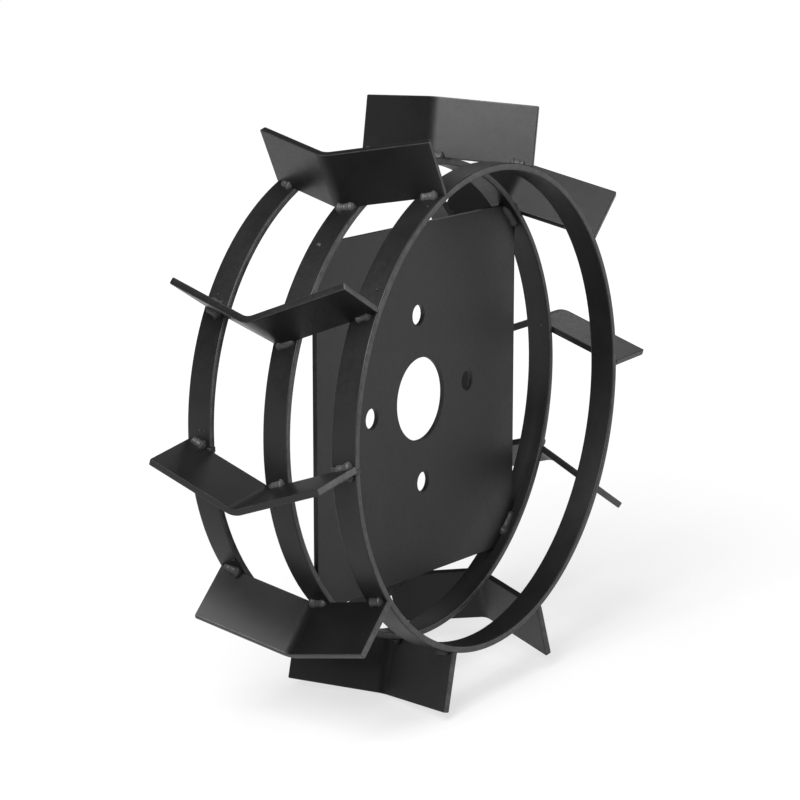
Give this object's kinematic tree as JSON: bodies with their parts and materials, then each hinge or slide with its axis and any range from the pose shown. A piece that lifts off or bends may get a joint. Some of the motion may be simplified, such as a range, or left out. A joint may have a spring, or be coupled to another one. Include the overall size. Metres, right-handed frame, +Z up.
{
  "type": "cage wheel",
  "caption": "Welded steel cage wheel for a walk-behind tractor: rolled hoops, bent chevron lugs across them and a square bolt-on hub plate, painted black.",
  "frame": {"origin": "centre of the hub bore, halfway through the hub plate", "axes": "+Y along the wheel's axis from its front rim to its rear rim, +Z up, +X to the right seen from the front"},
  "size_m": [0.3484, 0.1141, 0.3458],
  "materials": {
    "painted_hoop": "satin black paint",
    "painted_lug": "satin black paint",
    "painted_plate": "satin black paint",
    "painted_weld": "satin black paint over rippled weld metal, thin on the crests"
  },
  "bodies": {
    "root": {"front_hoop": "painted_hoop", "hoop_seams": "painted_weld", "hub_plate": "painted_plate", "hub_plate_welds": "painted_weld", "lug_01": "painted_lug", "lug_01_welds": "painted_weld", "lug_02": "painted_lug", "lug_02_welds": "painted_weld", "lug_03": "painted_lug", "lug_03_welds": "painted_weld", "lug_04": "painted_lug", "lug_04_welds": "painted_weld", "lug_05": "painted_lug", "lug_05_welds": "painted_weld", "lug_06": "painted_lug", "lug_06_welds": "painted_weld", "lug_07": "painted_lug", "lug_07_welds": "painted_weld", "lug_08": "painted_lug", "lug_08_welds": "painted_weld", "lug_09": "painted_lug", "lug_09_welds": "painted_weld", "lug_10": "painted_lug", "lug_10_welds": "painted_weld", "middle_hoop": "painted_hoop", "rear_hoop": "painted_hoop"}
  },
  "joints": []
}
